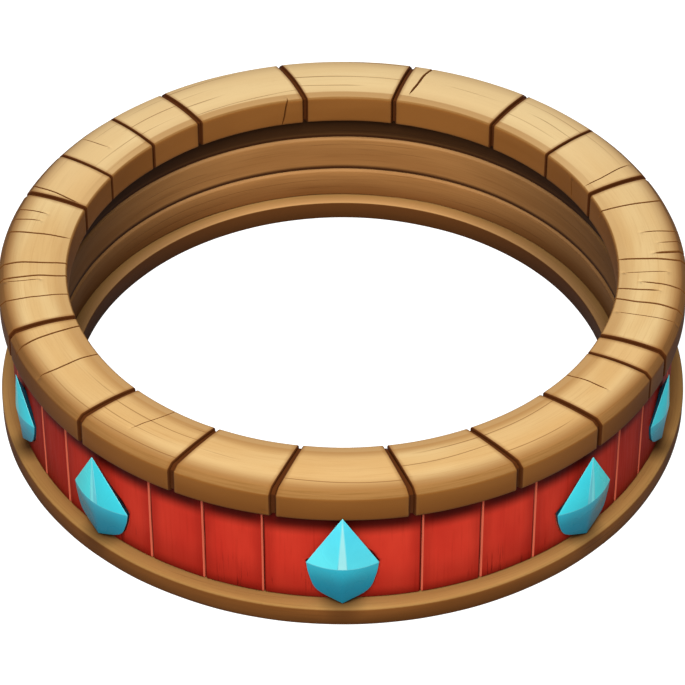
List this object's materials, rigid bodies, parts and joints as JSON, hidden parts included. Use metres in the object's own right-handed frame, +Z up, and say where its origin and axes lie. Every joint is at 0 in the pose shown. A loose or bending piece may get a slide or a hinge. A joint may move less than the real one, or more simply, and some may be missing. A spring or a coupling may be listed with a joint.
{
  "type": "juggling ring",
  "caption": "Thick wooden juggling ring with a crowned block rim, stepped lining hoops, red plank wall and faceted turquoise gems on a flat base ring.",
  "frame": {"origin": "on the ring's axis, on the underside of the base ring", "axes": "+Z up along the ring's axis, -Y towards the front gem, +X to the right seen from the front"},
  "size_m": [0.32, 0.32, 0.0762],
  "materials": {
    "rim_wood": "light tan wood, worn and waxed, with grain, small cracks and darker edges",
    "hoop_wood": "mid brown bent wood with fine grain along the hoop, satin",
    "base_wood": "brown wood, darker on its sides, satin",
    "inner_wood": "dark brown raw wood, matt",
    "red_painted_wood": "red painted wood, satin, worn to a paler red along the plank edges",
    "turquoise_gem": "cast turquoise acrylic with flat polished facets"
  },
  "bodies": {
    "root": {"base_ring": "base_wood", "core_ring": "inner_wood", "deck_ring": "inner_wood", "lower_hoop": "hoop_wood", "middle_hoop": "hoop_wood", "upper_hoop": "hoop_wood", "rim_block_01": "rim_wood", "rim_block_02": "rim_wood", "rim_block_03": "rim_wood", "rim_block_04": "rim_wood", "rim_block_05": "rim_wood", "rim_block_06": "rim_wood", "rim_block_07": "rim_wood", "rim_block_08": "rim_wood", "rim_block_09": "rim_wood", "rim_block_10": "rim_wood", "rim_block_11": "rim_wood", "rim_block_12": "rim_wood", "rim_block_13": "rim_wood", "rim_block_14": "rim_wood", "rim_block_15": "rim_wood", "rim_block_16": "rim_wood", "rim_block_17": "rim_wood", "rim_block_18": "rim_wood", "red_plank_01": "red_painted_wood", "red_plank_02": "red_painted_wood", "red_plank_03": "red_painted_wood", "red_plank_04": "red_painted_wood", "red_plank_05": "red_painted_wood", "red_plank_06": "red_painted_wood", "red_plank_07": "red_painted_wood", "red_plank_08": "red_painted_wood", "red_plank_09": "red_painted_wood", "red_plank_10": "red_painted_wood", "red_plank_11": "red_painted_wood", "red_plank_12": "red_painted_wood", "red_plank_13": "red_painted_wood", "red_plank_14": "red_painted_wood", "red_plank_15": "red_painted_wood", "red_plank_16": "red_painted_wood", "red_plank_17": "red_painted_wood", "red_plank_18": "red_painted_wood", "red_plank_19": "red_painted_wood", "red_plank_20": "red_painted_wood", "red_plank_21": "red_painted_wood", "red_plank_22": "red_painted_wood", "red_plank_23": "red_painted_wood", "red_plank_24": "red_painted_wood", "red_plank_25": "red_painted_wood", "red_plank_26": "red_painted_wood", "gem_01": "turquoise_gem", "gem_02": "turquoise_gem", "gem_03": "turquoise_gem", "gem_04": "turquoise_gem", "gem_05": "turquoise_gem", "gem_06": "turquoise_gem", "gem_07": "turquoise_gem", "gem_08": "turquoise_gem", "gem_09": "turquoise_gem", "gem_10": "turquoise_gem"}
  },
  "joints": []
}
